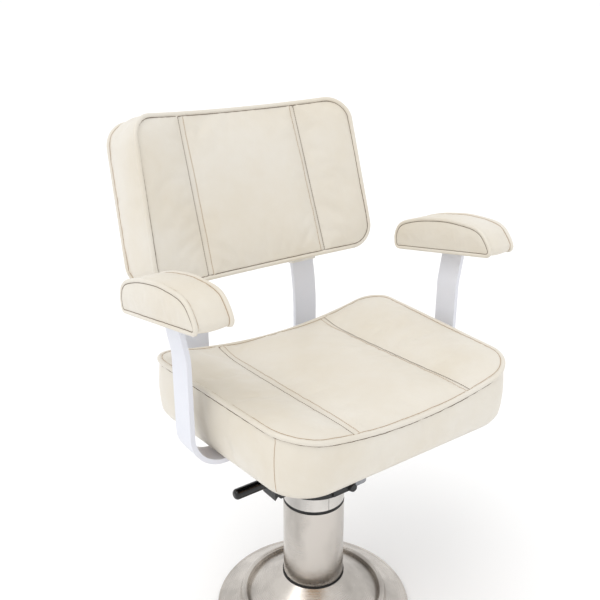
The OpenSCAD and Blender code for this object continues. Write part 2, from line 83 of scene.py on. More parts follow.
class Nodes:
    """Short names for building one material's node tree.

    Noise and cells take a scale per metre, so 800 is a grain of about a millimetre.
    """

    def __init__(self, name):
        self.material = bpy.data.materials.new(name)
        self.material.use_nodes = True
        self.tree = self.material.node_tree
        self.shader = self.tree.nodes["Principled BSDF"]
        self.place = self.add("ShaderNodeTexCoord").outputs["Object"]

    def add(self, kind, **values):
        node = self.tree.nodes.new(kind)
        for key, value in values.items():
            setattr(node, key, value)
        return node

    def link(self, a, b):
        self.tree.links.new(a, b)

    def stretched(self, scale):
        mapping = self.add("ShaderNodeMapping")
        mapping.inputs["Scale"].default_value = scale
        self.link(self.place, mapping.inputs["Vector"])
        return mapping.outputs["Vector"]

    def noise(self, scale, detail=3.0, stretch=None, roughness=0.5):
        node = self.add("ShaderNodeTexNoise")
        node.inputs["Scale"].default_value = scale
        node.inputs["Detail"].default_value = detail
        node.inputs["Roughness"].default_value = roughness
        self.link(self.stretched(stretch) if stretch else self.place, node.inputs["Vector"])
        return node.outputs["Fac"]

    def cells(self, scale, stretch=None):
        node = self.add("ShaderNodeTexVoronoi", feature="DISTANCE_TO_EDGE")
        node.inputs["Scale"].default_value = scale
        self.link(self.stretched(stretch) if stretch else self.place, node.inputs["Vector"])
        return node.outputs["Distance"]

    def span(self, value, low, high, to_low, to_high):
        """Maps low..high onto to_low..to_high."""
        node = self.add("ShaderNodeMapRange")
        node.inputs["From Min"].default_value = low
        node.inputs["From Max"].default_value = high
        node.inputs["To Min"].default_value = to_low
        node.inputs["To Max"].default_value = to_high
        self.link(value, node.inputs["Value"])
        return node.outputs["Result"]

    def mixed(self, factor, colour_a, colour_b):
        node = self.add("ShaderNodeMix", data_type="RGBA")
        self.link(factor, node.inputs["Factor"])
        for socket, colour in ((node.inputs[6], colour_a), (node.inputs[7], colour_b)):
            if isinstance(colour, tuple):
                socket.default_value = (*colour, 1)
            else:
                self.link(colour, socket)
        return node.outputs[2]

    def math(self, operation, a, b):
        node = self.add("ShaderNodeMath", operation=operation)
        for socket, value in zip(node.inputs, (a, b)):
            if isinstance(value, (int, float)):
                socket.default_value = value
            else:
                self.link(value, socket)
        return node.outputs[0]

    def bump(self, height, strength, distance, below=None):
        node = self.add("ShaderNodeBump")
        node.inputs["Strength"].default_value = strength
        node.inputs["Distance"].default_value = distance
        self.link(height, node.inputs["Height"])
        if below:
            self.link(below, node.inputs["Normal"])
        return node.outputs["Normal"]

    def fixed(self, **values):
        """Shader values that are the same all over."""
        for key, value in values.items():
            self.shader.inputs[key.replace("_", " ")].default_value = value

    def varying(self, **values):
        """Shader values that come from nodes."""
        for key, value in values.items():
            self.link(value, self.shader.inputs[key.replace("_", " ")])


def srgb(red, green, blue):
    """A linear colour from screen values of 0 to 255."""
    def linear(c):
        c /= 255
        return c / 12.92 if c <= 0.04045 else ((c + 0.055) / 1.055) ** 2.4
    return (linear(red), linear(green), linear(blue))


def vinyl(name, light, shade):
    """Ivory upholstery vinyl: pebbled grain, faint yellowing and handling marks."""
    n = Nodes(name)
    soiled = n.span(n.noise(7.0, 2.0), 0.35, 0.85, 0.0, 0.6)
    fine = n.span(n.noise(60.0, 3.0), 0.3, 0.8, 0.0, 0.15)
    n.varying(Base_Color=n.mixed(n.math("ADD", soiled, fine), light, shade))
    n.varying(Roughness=n.span(n.noise(26.0, 5.0), 0.3, 0.75, 0.36, 0.50))
    grain = n.bump(n.cells(820.0), 0.12, 0.0004)
    soft = n.bump(n.noise(38.0, 3.0), 0.10, 0.004, below=grain)
    n.varying(Normal=soft)
    n.fixed(Sheen_Weight=0.12, Sheen_Roughness=0.4, Specular_IOR_Level=0.42)
    return n.material


def powder_coat(name, light, shade, roughness):
    """Satin powder coat with a slight orange peel."""
    n = Nodes(name)
    n.varying(Base_Color=n.mixed(n.span(n.noise(9.0), 0.35, 0.75, 0, 1), light, shade))
    n.varying(Roughness=n.span(n.noise(45.0, 4.0), 0.3, 0.7,
                               roughness - 0.05, roughness + 0.07))
    n.varying(Normal=n.bump(n.noise(520.0, 2.0), 0.08, 0.0004))
    n.fixed(Coat_Weight=0.12, Coat_Roughness=0.3)
    return n.material


SMUDGED = 0.62                      # how dark a smudge on the steel is


def spun_steel(name, tint, ring_scale, along):
    """Brushed stainless steel; the brushing runs round the Z axis, with smudges and streaks.

    ring_scale and along set how fine the lines are, outwards from the axis and up it.
    """
    n = Nodes(name)
    split = n.add("ShaderNodeSeparateXYZ")
    n.link(n.place, split.inputs[0])
    radius = n.math("POWER", n.math("ADD", n.math("POWER", split.outputs["X"], 2),
                                    n.math("POWER", split.outputs["Y"], 2)), 0.5)
    rings = n.add("ShaderNodeCombineXYZ")
    n.link(n.math("MULTIPLY", radius, ring_scale), rings.inputs[0])
    n.link(n.math("MULTIPLY", split.outputs["Z"], along), rings.inputs[2])
    lines = n.add("ShaderNodeTexNoise")
    lines.inputs["Scale"].default_value = 1.0
    lines.inputs["Detail"].default_value = 5.0
    n.link(rings.outputs[0], lines.inputs["Vector"])
    smudge = n.span(n.noise(13.0, 5.0, stretch=(1, 1, 0.45)), 0.40, 0.72, 0.0, 1.0)
    dark = tuple(c * SMUDGED for c in tint)
    n.varying(Base_Color=n.mixed(smudge, tint, dark))
    wear = n.math("ADD", n.span(smudge, 0, 1, 0.16, 0.34),
                  n.span(lines.outputs["Fac"], 0.3, 0.7, 0.0, 0.10))
    n.varying(Roughness=wear)
    n.varying(Normal=n.bump(lines.outputs["Fac"], 0.10, 0.0003))
    tangent = n.add("ShaderNodeTangent", direction_type="RADIAL", axis="Z")
    n.varying(Tangent=tangent.outputs[0])
    n.fixed(Metallic=1.0, Anisotropic=0.75)
    return n.material


def plain_metal(name, tint, roughness, grain=240.0):
    """Cast, plated or turned metal with a faint mottle."""
    n = Nodes(name)
    mottle = n.span(n.noise(30.0, 4.0), 0.35, 0.7, 0, 1)
    n.varying(Base_Color=n.mixed(mottle, tint, tuple(c * 0.75 for c in tint)))
    n.varying(Roughness=n.span(n.noise(80.0, 3.0), 0.3, 0.7, roughness * 0.8, roughness * 1.3))
    n.varying(Normal=n.bump(n.noise(grain, 2.0), 0.08, 0.0005))
    n.fixed(Metallic=1.0)
    return n.material


def moulded(name, tint, roughness, grain=420.0, strength=0.1):
    """Moulded plastic, rubber or a dull coating."""
    n = Nodes(name)
    faded = tuple(min(1.0, c * 1.5 + 0.004) for c in tint)
    n.varying(Base_Color=n.mixed(n.span(n.noise(40.0, 4.0), 0.45, 0.8, 0, 0.8), tint, faded))
    n.varying(Roughness=n.span(n.noise(60.0, 4.0), 0.3, 0.7, roughness - 0.06, roughness + 0.10))
    n.varying(Normal=n.bump(n.noise(grain, 2.0), strength, 0.0005))
    return n.material


def ply(name, light, dark):
    """Plywood: fine streaks along X, thin plies in Z."""
    n = Nodes(name)
    n.varying(Base_Color=n.mixed(n.noise(3.0, 5.0, stretch=(2, 20, 120)), light, dark))
    n.varying(Normal=n.bump(n.noise(50.0, 3.0, stretch=(1, 12, 30)), 0.15, 0.0008))
    n.fixed(Roughness=0.7)
    return n.material


def open_foam(name, light, dark):
    """Upholstery foam with open cells."""
    n = Nodes(name)
    n.varying(Base_Color=n.mixed(n.noise(300.0, 2.0), light, dark))
    n.varying(Normal=n.bump(n.cells(700.0), 0.5, 0.001))
    n.fixed(Roughness=0.95)
    return n.material


def thread_and_shade_line(name, tint, shade):
    """Twisted sewing thread, soiled along its length; also the material of the thin dark lines
    of painted shade laid in the crevices at the piping and seams.
    """
    n = Nodes(name)
    n.varying(Base_Color=n.mixed(n.noise(400.0, 3.0), tint, shade))
    n.varying(Normal=n.bump(n.noise(900.0, 2.0, stretch=(1, 4, 1)), 0.4, 0.0004))
    n.fixed(Roughness=0.7)
    return n.material


def make_materials():
    """One material for each of the record's slots."""
    return {
        "upholstery": vinyl("ivory_vinyl", srgb(220, 215, 205), srgb(210, 199, 178)),
        "white_coat": powder_coat("white_powder_coat", srgb(222, 224, 232),
                                  srgb(216, 219, 228), 0.38),
        "spun_steel": spun_steel("spun_steel", srgb(205, 199, 192), 900.0, 60.0),
        "column_steel": spun_steel("column_steel", srgb(208, 203, 197), 20.0, 900.0),
        "bright_steel": spun_steel("bright_steel", srgb(214, 211, 207), 20.0, 700.0),
        "dark_iron": plain_metal("dark_iron", srgb(72, 72, 76), 0.55),
        "black_coat": moulded("black_coat", srgb(17, 18, 21), 0.38, strength=0.14),
        "rubber": moulded("rubber", srgb(15, 15, 16), 0.62),
        "grip": moulded("grip", srgb(9, 10, 12), 0.20, strength=0.03),
        "nylon": moulded("nylon", srgb(222, 220, 208), 0.5),
        "bronze": plain_metal("bronze", srgb(176, 132, 72), 0.32),
        "zinc": plain_metal("zinc", srgb(158, 160, 164), 0.42),
        "collar": moulded("collar", srgb(226, 224, 220), 0.42),
        "plywood": ply("plywood", srgb(205, 172, 126), srgb(170, 130, 86)),
        "foam": open_foam("foam", srgb(232, 214, 160), srgb(206, 184, 124)),
    }


# ---------------------------------------------------------------- outlines and sheets

def cad_outline(node, across, along, origin):
    """Convex outline of a CAD node in the plane of across and along, as 2D points."""
    flat = [((v.co - origin).dot(across), (v.co - origin).dot(along))
            for v in cad_nodes[node].data.vertices]
    order = geometry.convex_hull_2d([Vector(p) for p in flat])
    return [Vector(flat[i]) for i in order]


def evenly(loop, spacing):
    """The closed 2D loop resampled at an even spacing, starting where the first point is."""
    ends = loop[1:] + loop[:1]
    lengths = [(b - a).length for a, b in zip(loop, ends)]
    total = sum(lengths)
    count = round(total / spacing)
    points, edge, passed = [], 0, 0.0
    for i in range(count):
        target = total * i / count
        while passed + lengths[edge] < target:
            passed += lengths[edge]
            edge += 1
        points.append(loop[edge].lerp(ends[edge], (target - passed) / lengths[edge]))
    return points


def snap(loop, target):
    """Moves the loop's nearest point onto target and returns its index."""
    index = min(range(len(loop)), key=lambda i: (loop[i] - target).length)
    loop[index] = Vector(target)
    return index


def outward(loop):
    """Outward 2D normals of a closed loop."""
    area = sum(a.x * b.y - b.x * a.y for a, b in zip(loop, loop[1:] + loop[:1]))
    turn = 1 if area > 0 else -1
    normals = []
    for i in range(len(loop)):
        step = loop[(i + 1) % len(loop)] - loop[i - 1]
        normals.append(Vector((step.y, -step.x)).normalized() * turn)
    return normals


def distance_to_lines(points, segments):
    """Distance of each 2D point to the nearest segment."""
    points = np.array(points, float)
    best = np.full(len(points), 1e9)
    for a, b in segments:
        a, step = np.array(a), np.array(b) - np.array(a)
        t = np.clip(((points - a) @ step) / (step @ step), 0, 1)
        best = np.minimum(best, np.linalg.norm(points - a - t[:, None] * step, axis=1))
    return best


def closed_pairs(loop):
    return list(zip(loop, loop[1:] + loop[:1]))


def inside(points, loop):
    """Which of the 2D points lie inside the closed loop."""
    points = np.array(points, float)
    result = np.zeros(len(points), bool)
    for a, b in closed_pairs(loop):
        crosses = (a.y > points[:, 1]) != (b.y > points[:, 1])
        if a.y != b.y:
            x = a.x + (points[:, 1] - a.y) * (b.x - a.x) / (b.y - a.y)
            result ^= crosses & (points[:, 0] < x)
    return result


ROW_HEIGHT = 0.866                  # of an even triangular lattice, in spacings
CLEARANCE = 0.62                    # of lattice points from an edge or seam, in spacings
SAME_POINT = 1e-7


class Sheet:
    """A flat triangulated panel: its outline first, then its seams, then an even lattice."""

    def __init__(self, loop, seams, spacing):
        points, edges = list(loop), []
        self.seam_runs = []
        for start, end in seams:
            steps = max(2, round((loop[end] - loop[start]).length / spacing))
            run = [start]
            for i in range(1, steps):
                points.append(loop[start].lerp(loop[end], i / steps))
                run.append(len(points) - 1)
            run.append(end)
            edges += list(zip(run, run[1:]))
            self.seam_runs.append(run)
        lines = closed_pairs(loop) + [(points[a], points[b]) for a, b in edges]
        low = [min(p[k] for p in loop) for k in (0, 1)]
        high = [max(p[k] for p in loop) for k in (0, 1)]
        lattice, row = [], 0
        y = low[1] + spacing / 2
        while y < high[1]:
            x = low[0] + spacing / 2 * (1 + row % 2)
            while x < high[0]:
                lattice.append((x, y))
                x += spacing
            y += spacing * ROW_HEIGHT
            row += 1
        keep = inside(lattice, loop) & (distance_to_lines(lattice, lines) > CLEARANCE * spacing)
        points += [Vector(p) for p, k in zip(lattice, keep) if k]
        _, _, faces, origins, _, _ = geometry.delaunay_2d_cdt(
            points, edges, [list(range(len(loop)))], 1, SAME_POINT)
        place = {k: origin[0] for k, origin in enumerate(origins)}
        self.points = points
        self.faces = [[place[v] for v in face] for face in faces]
        self.loop = len(loop)
        self.from_edge = distance_to_lines(points, lines)


def stuffed_form(name, sheet, front, wall, rear, rows, rear_sheet=None):
    """One closed form: a front panel, a wall of rows round it, and a rear panel.

    front(i) and rear(i) give the place of a sheet's point, and wall(i, share) that of a point
    on the wall, with share from 0 at the front to 1 at the rear.
    Returns the object and the indices of the vertices on its seams and edges.
    """
    rear_sheet = rear_sheet or sheet
    count = sheet.loop
    verts = [front(i) for i in range(len(sheet.points))]
    faces = [tuple(f) for f in sheet.faces]
    ring = list(range(count))
    for row in range(1, rows):
        below = [len(verts) + i for i in range(count)]
        verts += [wall(i, row / rows) for i in range(count)]
        faces += [(ring[i], below[i], below[(i + 1) % count], ring[(i + 1) % count])
                  for i in range(count)]
        ring = below
    base = len(verts)
    verts += [rear(i) for i in range(len(rear_sheet.points))]
    last = [base + i for i in range(count)]
    faces += [(ring[i], last[i], last[(i + 1) % count], ring[(i + 1) % count])
              for i in range(count)]
    faces += [tuple(base + v for v in reversed(f)) for f in rear_sheet.faces]
    held = set(range(count)) | set(last)
    for run in sheet.seam_runs:
        held |= set(run)
    return mesh_piece(name, verts, faces), held


def mesh_piece(name, verts, faces):
    mesh = bpy.data.meshes.new(name)
    mesh.from_pydata(verts, [], faces)
    mesh.validate()
    obj = bpy.data.objects.new(name, mesh)
    bpy.context.scene.collection.objects.link(obj)
    face_outward(obj)
    return obj


def face_outward(obj):
    bpy.context.view_layer.objects.active = obj
    obj.select_set(True)
    bpy.ops.object.mode_set(mode="EDIT")
    bpy.ops.mesh.select_all(action="SELECT")
    bpy.ops.mesh.normals_make_consistent(inside=False)
    bpy.ops.object.mode_set(mode="OBJECT")
    obj.select_set(False)
    obj.data.shade_smooth()


CLOTH_FRAMES = 18
STILL = 1e-9                        # a point that moved less than this is left alone


def stuff(obj, held, pressure, most, slack):
    """Inflates the form as cloth held along its seams; no point moves further than most.

    slack is how much larger than the form the cloth is cut.
    """
    group = obj.vertex_groups.new(name="held")
    group.add(sorted(held), 1.0, "REPLACE")
    start = [v.co.copy() for v in obj.data.vertices]
    cloth = obj.modifiers.new("stuffing", "CLOTH")
    s = cloth.settings
    s.quality = 6
    s.mass = 0.25
    s.tension_stiffness = s.compression_stiffness = 22
    s.shear_stiffness = 10
    s.bending_stiffness = 2.5
    s.air_damping = 4
    s.shrink_min = -slack
    s.use_pressure = True
    s.uniform_pressure_force = pressure
    s.vertex_group_mass = "held"
    s.effector_weights.gravity = 0
    cloth.collision_settings.use_collision = False
    scene = bpy.context.scene
    for step in range(1, CLOTH_FRAMES + 1):
        scene.frame_set(step)
    evaluated = obj.evaluated_get(bpy.context.evaluated_depsgraph_get())
    moved = [v.co.copy() for v in evaluated.data.vertices]
    obj.modifiers.remove(cloth)
    scene.frame_set(1)
    for vertex, was, now in zip(obj.data.vertices, start, moved):
        shift = now - was
        if shift.length > STILL:
            vertex.co = was + shift.normalized() * most * math.tanh(shift.length / most)
    obj.data.update()


# ---------------------------------------------------------------- swept pieces

def swept(name, points, side, radius, closed=True, sides=10):
    """A tube along points; side(i) points across it, so that it doesn't twist."""
    verts, faces = [], []
    count = len(points)
    for i, p in enumerate(points):
        before = points[i - 1] if closed or i else points[i]
        after = points[(i + 1) % count] if closed or i < count - 1 else points[i]
        along = (after - before).normalized()
        v = side(i)
        v = (v - along * v.dot(along)).normalized()
        u = along.cross(v)
        for k in range(sides):
            a = 2 * math.pi * k / sides
            verts.append(p + u * radius * math.cos(a) + v * radius * math.sin(a))
    spans = count if closed else count - 1
    for i in range(spans):
        a, b = i * sides, ((i + 1) % count) * sides
        faces += [(a + k, b + k, b + (k + 1) % sides, a + (k + 1) % sides) for k in range(sides)]
    if not closed:
        faces.append(tuple(range(sides)))
        faces.append(tuple((count - 1) * sides + k for k in reversed(range(sides))))
    return mesh_piece(name, verts, faces)


STITCH_LENGTH = 3.2 * MM
STITCH_GAP = 0.9 * MM
THREAD_RADIUS = 0.45 * MM
STITCH_ARCH = ((0, -0.5), (0.25, 0.45), (0.75, 0.45), (1, -0.5))  # (share, height in radii)
STITCH_SIDES = 6


def stitches(name, points, normals):
    """Short sewn threads along a line, each dipping into the vinyl at both ends."""
    ends = points[1:]
    spans = [(b - a).length for a, b in zip(points, ends)]
    total = sum(spans)
    verts, faces = [], []
    index, passed = 0, 0.0

    def at(distance):
        nonlocal index, passed
        while index < len(spans) - 1 and passed + spans[index] < distance:
            passed += spans[index]
            index += 1
        t = min(1.0, (distance - passed) / spans[index])
        return points[index].lerp(ends[index], t), normals[index]

    distance = STITCH_GAP
    while distance + STITCH_LENGTH < total:
        (a, n), (b, _) = at(distance), at(distance + STITCH_LENGTH)
        along = (b - a).normalized()
        u = along.cross(n).normalized()
        base = len(verts)
        for share, lift in STITCH_ARCH:
            centre = a.lerp(b, share) + n * THREAD_RADIUS * lift
            for k in range(STITCH_SIDES):
                turn = 2 * math.pi * k / STITCH_SIDES
                verts.append(centre + (u * math.cos(turn) + n * math.sin(turn)) * THREAD_RADIUS)
        for ring in range(len(STITCH_ARCH) - 1):
            first = base + STITCH_SIDES * ring
            for k in range(STITCH_SIDES):
                p, q = first + k, first + (k + 1) % STITCH_SIDES
                faces.append((p, q, q + STITCH_SIDES, p + STITCH_SIDES))
        distance += STITCH_LENGTH + STITCH_GAP
    return mesh_piece(name, verts, faces)


# ---------------------------------------------------------------- shared by the cushions

BOX_BULGE = 4.5 * MM                # how far the seat's and backrest's walls swell
BULGE_CURVE = 0.8                   # below 1, so that walls are full close to their edges
BAND_WIDTH = 8 * MM                 # folded seam allowance under the topstitching
BAND_RISE = 0.8 * MM
SEAM_FLAT = 3 * MM                  # strip beside a seam or edge that stays flat
CREASE = 2.2 * MM                   # how far a seam is pulled into the padding
CORD = 4.4 * MM                     # radius of the piping
CORD_IN = 0.6 * MM                  # the piping's middle lies this far inside the outline
EDGE_IN = 4.8 * MM                  # where the piping meets the panel
EDGE_LIFT = 2.2 * MM                # panels stand this far above the middle of the piping
WALL_IN = 1.5 * MM                  # walls start this far inside the outline
CUSHION_PRESSURE = 3.0
CUSHION_SWELL = 4 * MM              # most that the stuffing moves a point
CUSHION_SLACK = 0.006
BOLD_LINE = 0.5 * MM                # radii of the lines of painted crevice shade where piping meets vinyl
LINE = 0.4 * MM
FAINT_LINE = 0.35 * MM
LINE_LIFT = 0.15 * MM
STITCH_LIFT = 0.1 * MM
OFF = 50 * MM                       # rays onto a wall start this far outside it
FAR_OFF = 100 * MM                  # and rays onto a broad panel this far
NO_SEAM_WAY = Vector((0.31, 0.52, 0.79))  # a direction that no seam runs in


def crown(distance, height, reach):
    """Height of the padding at a distance from the nearest seam or edge."""
    return height * (1 - math.exp(-distance / reach))


def sink_creases(body, sheet):
    """Pulls the seam lines slightly into the padding."""
    for run in sheet.seam_runs:
        for v in run[1:-1]:
            body.data.vertices[v].co -= body.data.vertices[v].normal * CREASE
    body.data.update()


def surface_line(body, starts, directions, lift):
    """Points at a height above the body, and its normals, where rays meet it."""
    points, normals = [], []
    for start, direction in zip(starts, directions):
        hit, place, normal, _ = body.ray_cast(start, direction)
        if hit:
            points.append(place + normal * lift)
            normals.append(normal)
    return points, normals


def crevice_shade_line(name, body, starts, directions, radius, material, closed=True):
    """A thin dark line of painted shade in the crevice where the piping meets the vinyl, found
    by rays onto the body.
    """
    points, _ = surface_line(body, starts, directions, LINE_LIFT)
    line = swept(name, points, lambda i: NO_SEAM_WAY, radius, closed=closed, sides=6)
    dress(line, material)


def dress(obj, material):
    """Everything sewn, and each line of painted crevice shade, is upholstery and moves with the
    seat.
    """
    obj.data.materials.clear()
    obj.data.materials.append(material)
    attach(obj, "seat")


def piping(name, points, side, radius):
    cord = swept(name, points, side, radius)
    dress(cord, materials["upholstery"])


# ---------------------------------------------------------------- seat

SEAT_SPACING = 6.5 * MM
SEAT_SEAM_X = 121 * MM
SEAT_SEAM_SINK = 33 * MM            # seams at the rear, below the welt at the sides
SEAT_FRONT_RISE = 13 * MM           # and how much higher they are at the front
SEAT_RISE_CURVE = 1.6
SEAT_WELT_DIP = 32 * MM             # welt at the middle of the front and rear edges
SEAT_WELT_CURVE = 1.1
SEAT_ROLL = 34 * MM                 # length over which the panels roll down to the end welts
SEAT_ROLL_CURVE = 1.5
SEAT_CROWN = 8 * MM
SEAT_CROWN_REACH = 26 * MM
SEAT_FRONT_PART = 0.3               # share of the length in which the front's width is found
SEAT_WALL_ROWS = 16
SEAT_TUCK = 7 * MM                  # how far the wall's foot turns in under the seat
SEAT_TUCK_FROM = 0.86               # share of the wall's height where it begins
SEAT_BULGE_RUN = 1.08               # above 1, so that the swelling ends above the foot
SEAT_FOOT = 0.97                    # lower panel's size, as a share of the outline's
WELT_RISE = 0.8                     # upward part of the direction across the piping
CORNER_SEAM_TURN = 0.4              # puts the boxing's seam at the front corner on the -X side
CORNER_SEAM_STEPS = 24
CORNER_SEAM_END = 8 * MM            # above the foot


def make_seat():
    low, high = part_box("seat_cover")
    outline = cad_outline("seat_cover", ACROSS, Vector((0, 1, 0)), Vector((0, 0, 0)))
    loop = evenly(outline, SEAT_SPACING)
    length = high.y - low.y
    seams = []
    for x in (-SEAT_SEAM_X, SEAT_SEAM_X):
        front = snap(loop, Vector((x, low.y)))
        rear = snap(loop, Vector((x, high.y)))
        seams.append((front, rear))
    normals = outward(loop)
    sheet = Sheet(loop, seams, SEAT_SPACING)
    half_front = max(p.x for p in loop if p.y < low.y + SEAT_FRONT_PART * length)
    half_rear = max(p.x for p in loop)

    def surface(x, y):
        """Height of the seat's panels before their padding, and of the welt round them."""
        share = min(1.0, max(0.0, (y - low.y) / length))
        half = half_front + (half_rear - half_front) * share
        middle = max(0.0, 1 - (x / half) ** 2)
        welt = -SEAT_WELT_DIP * middle ** SEAT_WELT_CURVE
        sink = SEAT_SEAM_SINK - SEAT_FRONT_RISE * (1 - share) ** SEAT_RISE_CURVE
        rise = max(0.0, (abs(x) - SEAT_SEAM_X) / (half - SEAT_SEAM_X))
        panel = -sink * (1 - min(1.0, rise))
        to_end = min(y - low.y, high.y - y)
        blend = math.exp(-((to_end / SEAT_ROLL) ** SEAT_ROLL_CURVE))
        return high.z + panel + (welt - panel) * blend

    def top(i):
        p = sheet.points[i]
        lift = crown(max(0.0, sheet.from_edge[i] - SEAM_FLAT), SEAT_CROWN, SEAT_CROWN_REACH)
        if 0 < SEAT_SEAM_X - abs(p.x) < BAND_WIDTH:
            lift = BAND_RISE
        return Vector((p.x, p.y, surface(p.x, p.y) + EDGE_LIFT + lift))

    def wall(i, share):
        p, n = loop[i], normals[i]
        top_z = surface(p.x, p.y)
        z = top_z + (low.z - top_z) * share
        bulge = BOX_BULGE * math.sin(math.pi * min(1.0, share * SEAT_BULGE_RUN)) ** BULGE_CURVE
        tuck = SEAT_TUCK * max(0.0, (share - SEAT_TUCK_FROM) / (1 - SEAT_TUCK_FROM)) ** 2
        q = p + n * (bulge - WALL_IN - tuck)
        return Vector((q.x, q.y, z))

    def bottom(i):
        p = sheet.points[i]
        q = p * SEAT_FOOT + Vector((0, (low.y + high.y) / 2)) * (1 - SEAT_FOOT)
        return Vector((q.x, q.y, low.z))

    body, held = stuffed_form("seat_upholstery", sheet, top, wall, bottom, SEAT_WALL_ROWS)
    bottom_start = len(body.data.vertices) - len(sheet.points)
    held |= set(range(bottom_start, len(body.data.vertices)))
    stuff(body, held, CUSHION_PRESSURE, CUSHION_SWELL, CUSHION_SLACK)
    sink_creases(body, sheet)
    dress(body, materials["upholstery"])
    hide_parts("seat_cover", "seat_foam")

    welt = [Vector((p.x, p.y, surface(p.x, p.y))) - Vector((n.x, n.y, 0)) * CORD_IN
            for p, n in zip(loop, normals)]
    piping("seat_piping", welt,
           lambda i: Vector((normals[i].x, normals[i].y, WELT_RISE)), CORD)
    # Thin dark lines of painted shade in the crevices where the piping meets the vinyl, on top
    # and at the side.
    above = [Vector((p.x - n.x * EDGE_IN, p.y - n.y * EDGE_IN, high.z + FAR_OFF))
             for p, n in zip(loop, normals)]
    crevice_shade_line("seat_edge_top", body, above, [-UP] * len(loop), LINE, thread_and_shade_materials["soft"])

    def beside(i, z):
        p, n = loop[i], normals[i]
        return Vector((p.x + n.x * OFF, p.y + n.y * OFF, z))

    starts = [beside(i, surface(p.x, p.y) - EDGE_IN) for i, p in enumerate(loop)]
    inward = [Vector((-n.x, -n.y, 0)) for n in normals]
    crevice_shade_line("seat_edge_side", body, starts, inward, BOLD_LINE, thread_and_shade_materials["dark"])
    # A faint line of painted shade down the boxing's seam at the front corner.
    corner = min(range(len(loop)), key=lambda i: loop[i].x + CORNER_SEAM_TURN * loop[i].y)
    seam_top = surface(*loop[corner]) - EDGE_IN
    seam_foot = low.z + CORNER_SEAM_END
    starts = [beside(corner, seam_top + (seam_foot - seam_top) * k / CORNER_SEAM_STEPS)
              for k in range(CORNER_SEAM_STEPS + 1)]
    crevice_shade_line("seat_corner_seam_shade", body, starts, [inward[corner]] * len(starts),
              FAINT_LINE, thread_and_shade_materials["soft"], closed=False)
    return body


# ---------------------------------------------------------------- backrest

BACK_SPACING = 6.5 * MM
BACK_REAR_SPACING = 1.4 * BACK_SPACING
BACK_SEAM_X = 126 * MM
BACK_DISH_TOP = 52 * MM
BACK_DISH_FOOT = 21 * MM
BACK_DISH_CURVE = 0.75
BACK_TAPER = 0.048                  # how much narrower the top is than the foot
BACK_CROWN = 9 * MM
BACK_CROWN_REACH = 26 * MM
BACK_REAR_CROWN = 5 * MM
BACK_REAR_REACH = 40 * MM
BACK_WALL_ROWS = 14


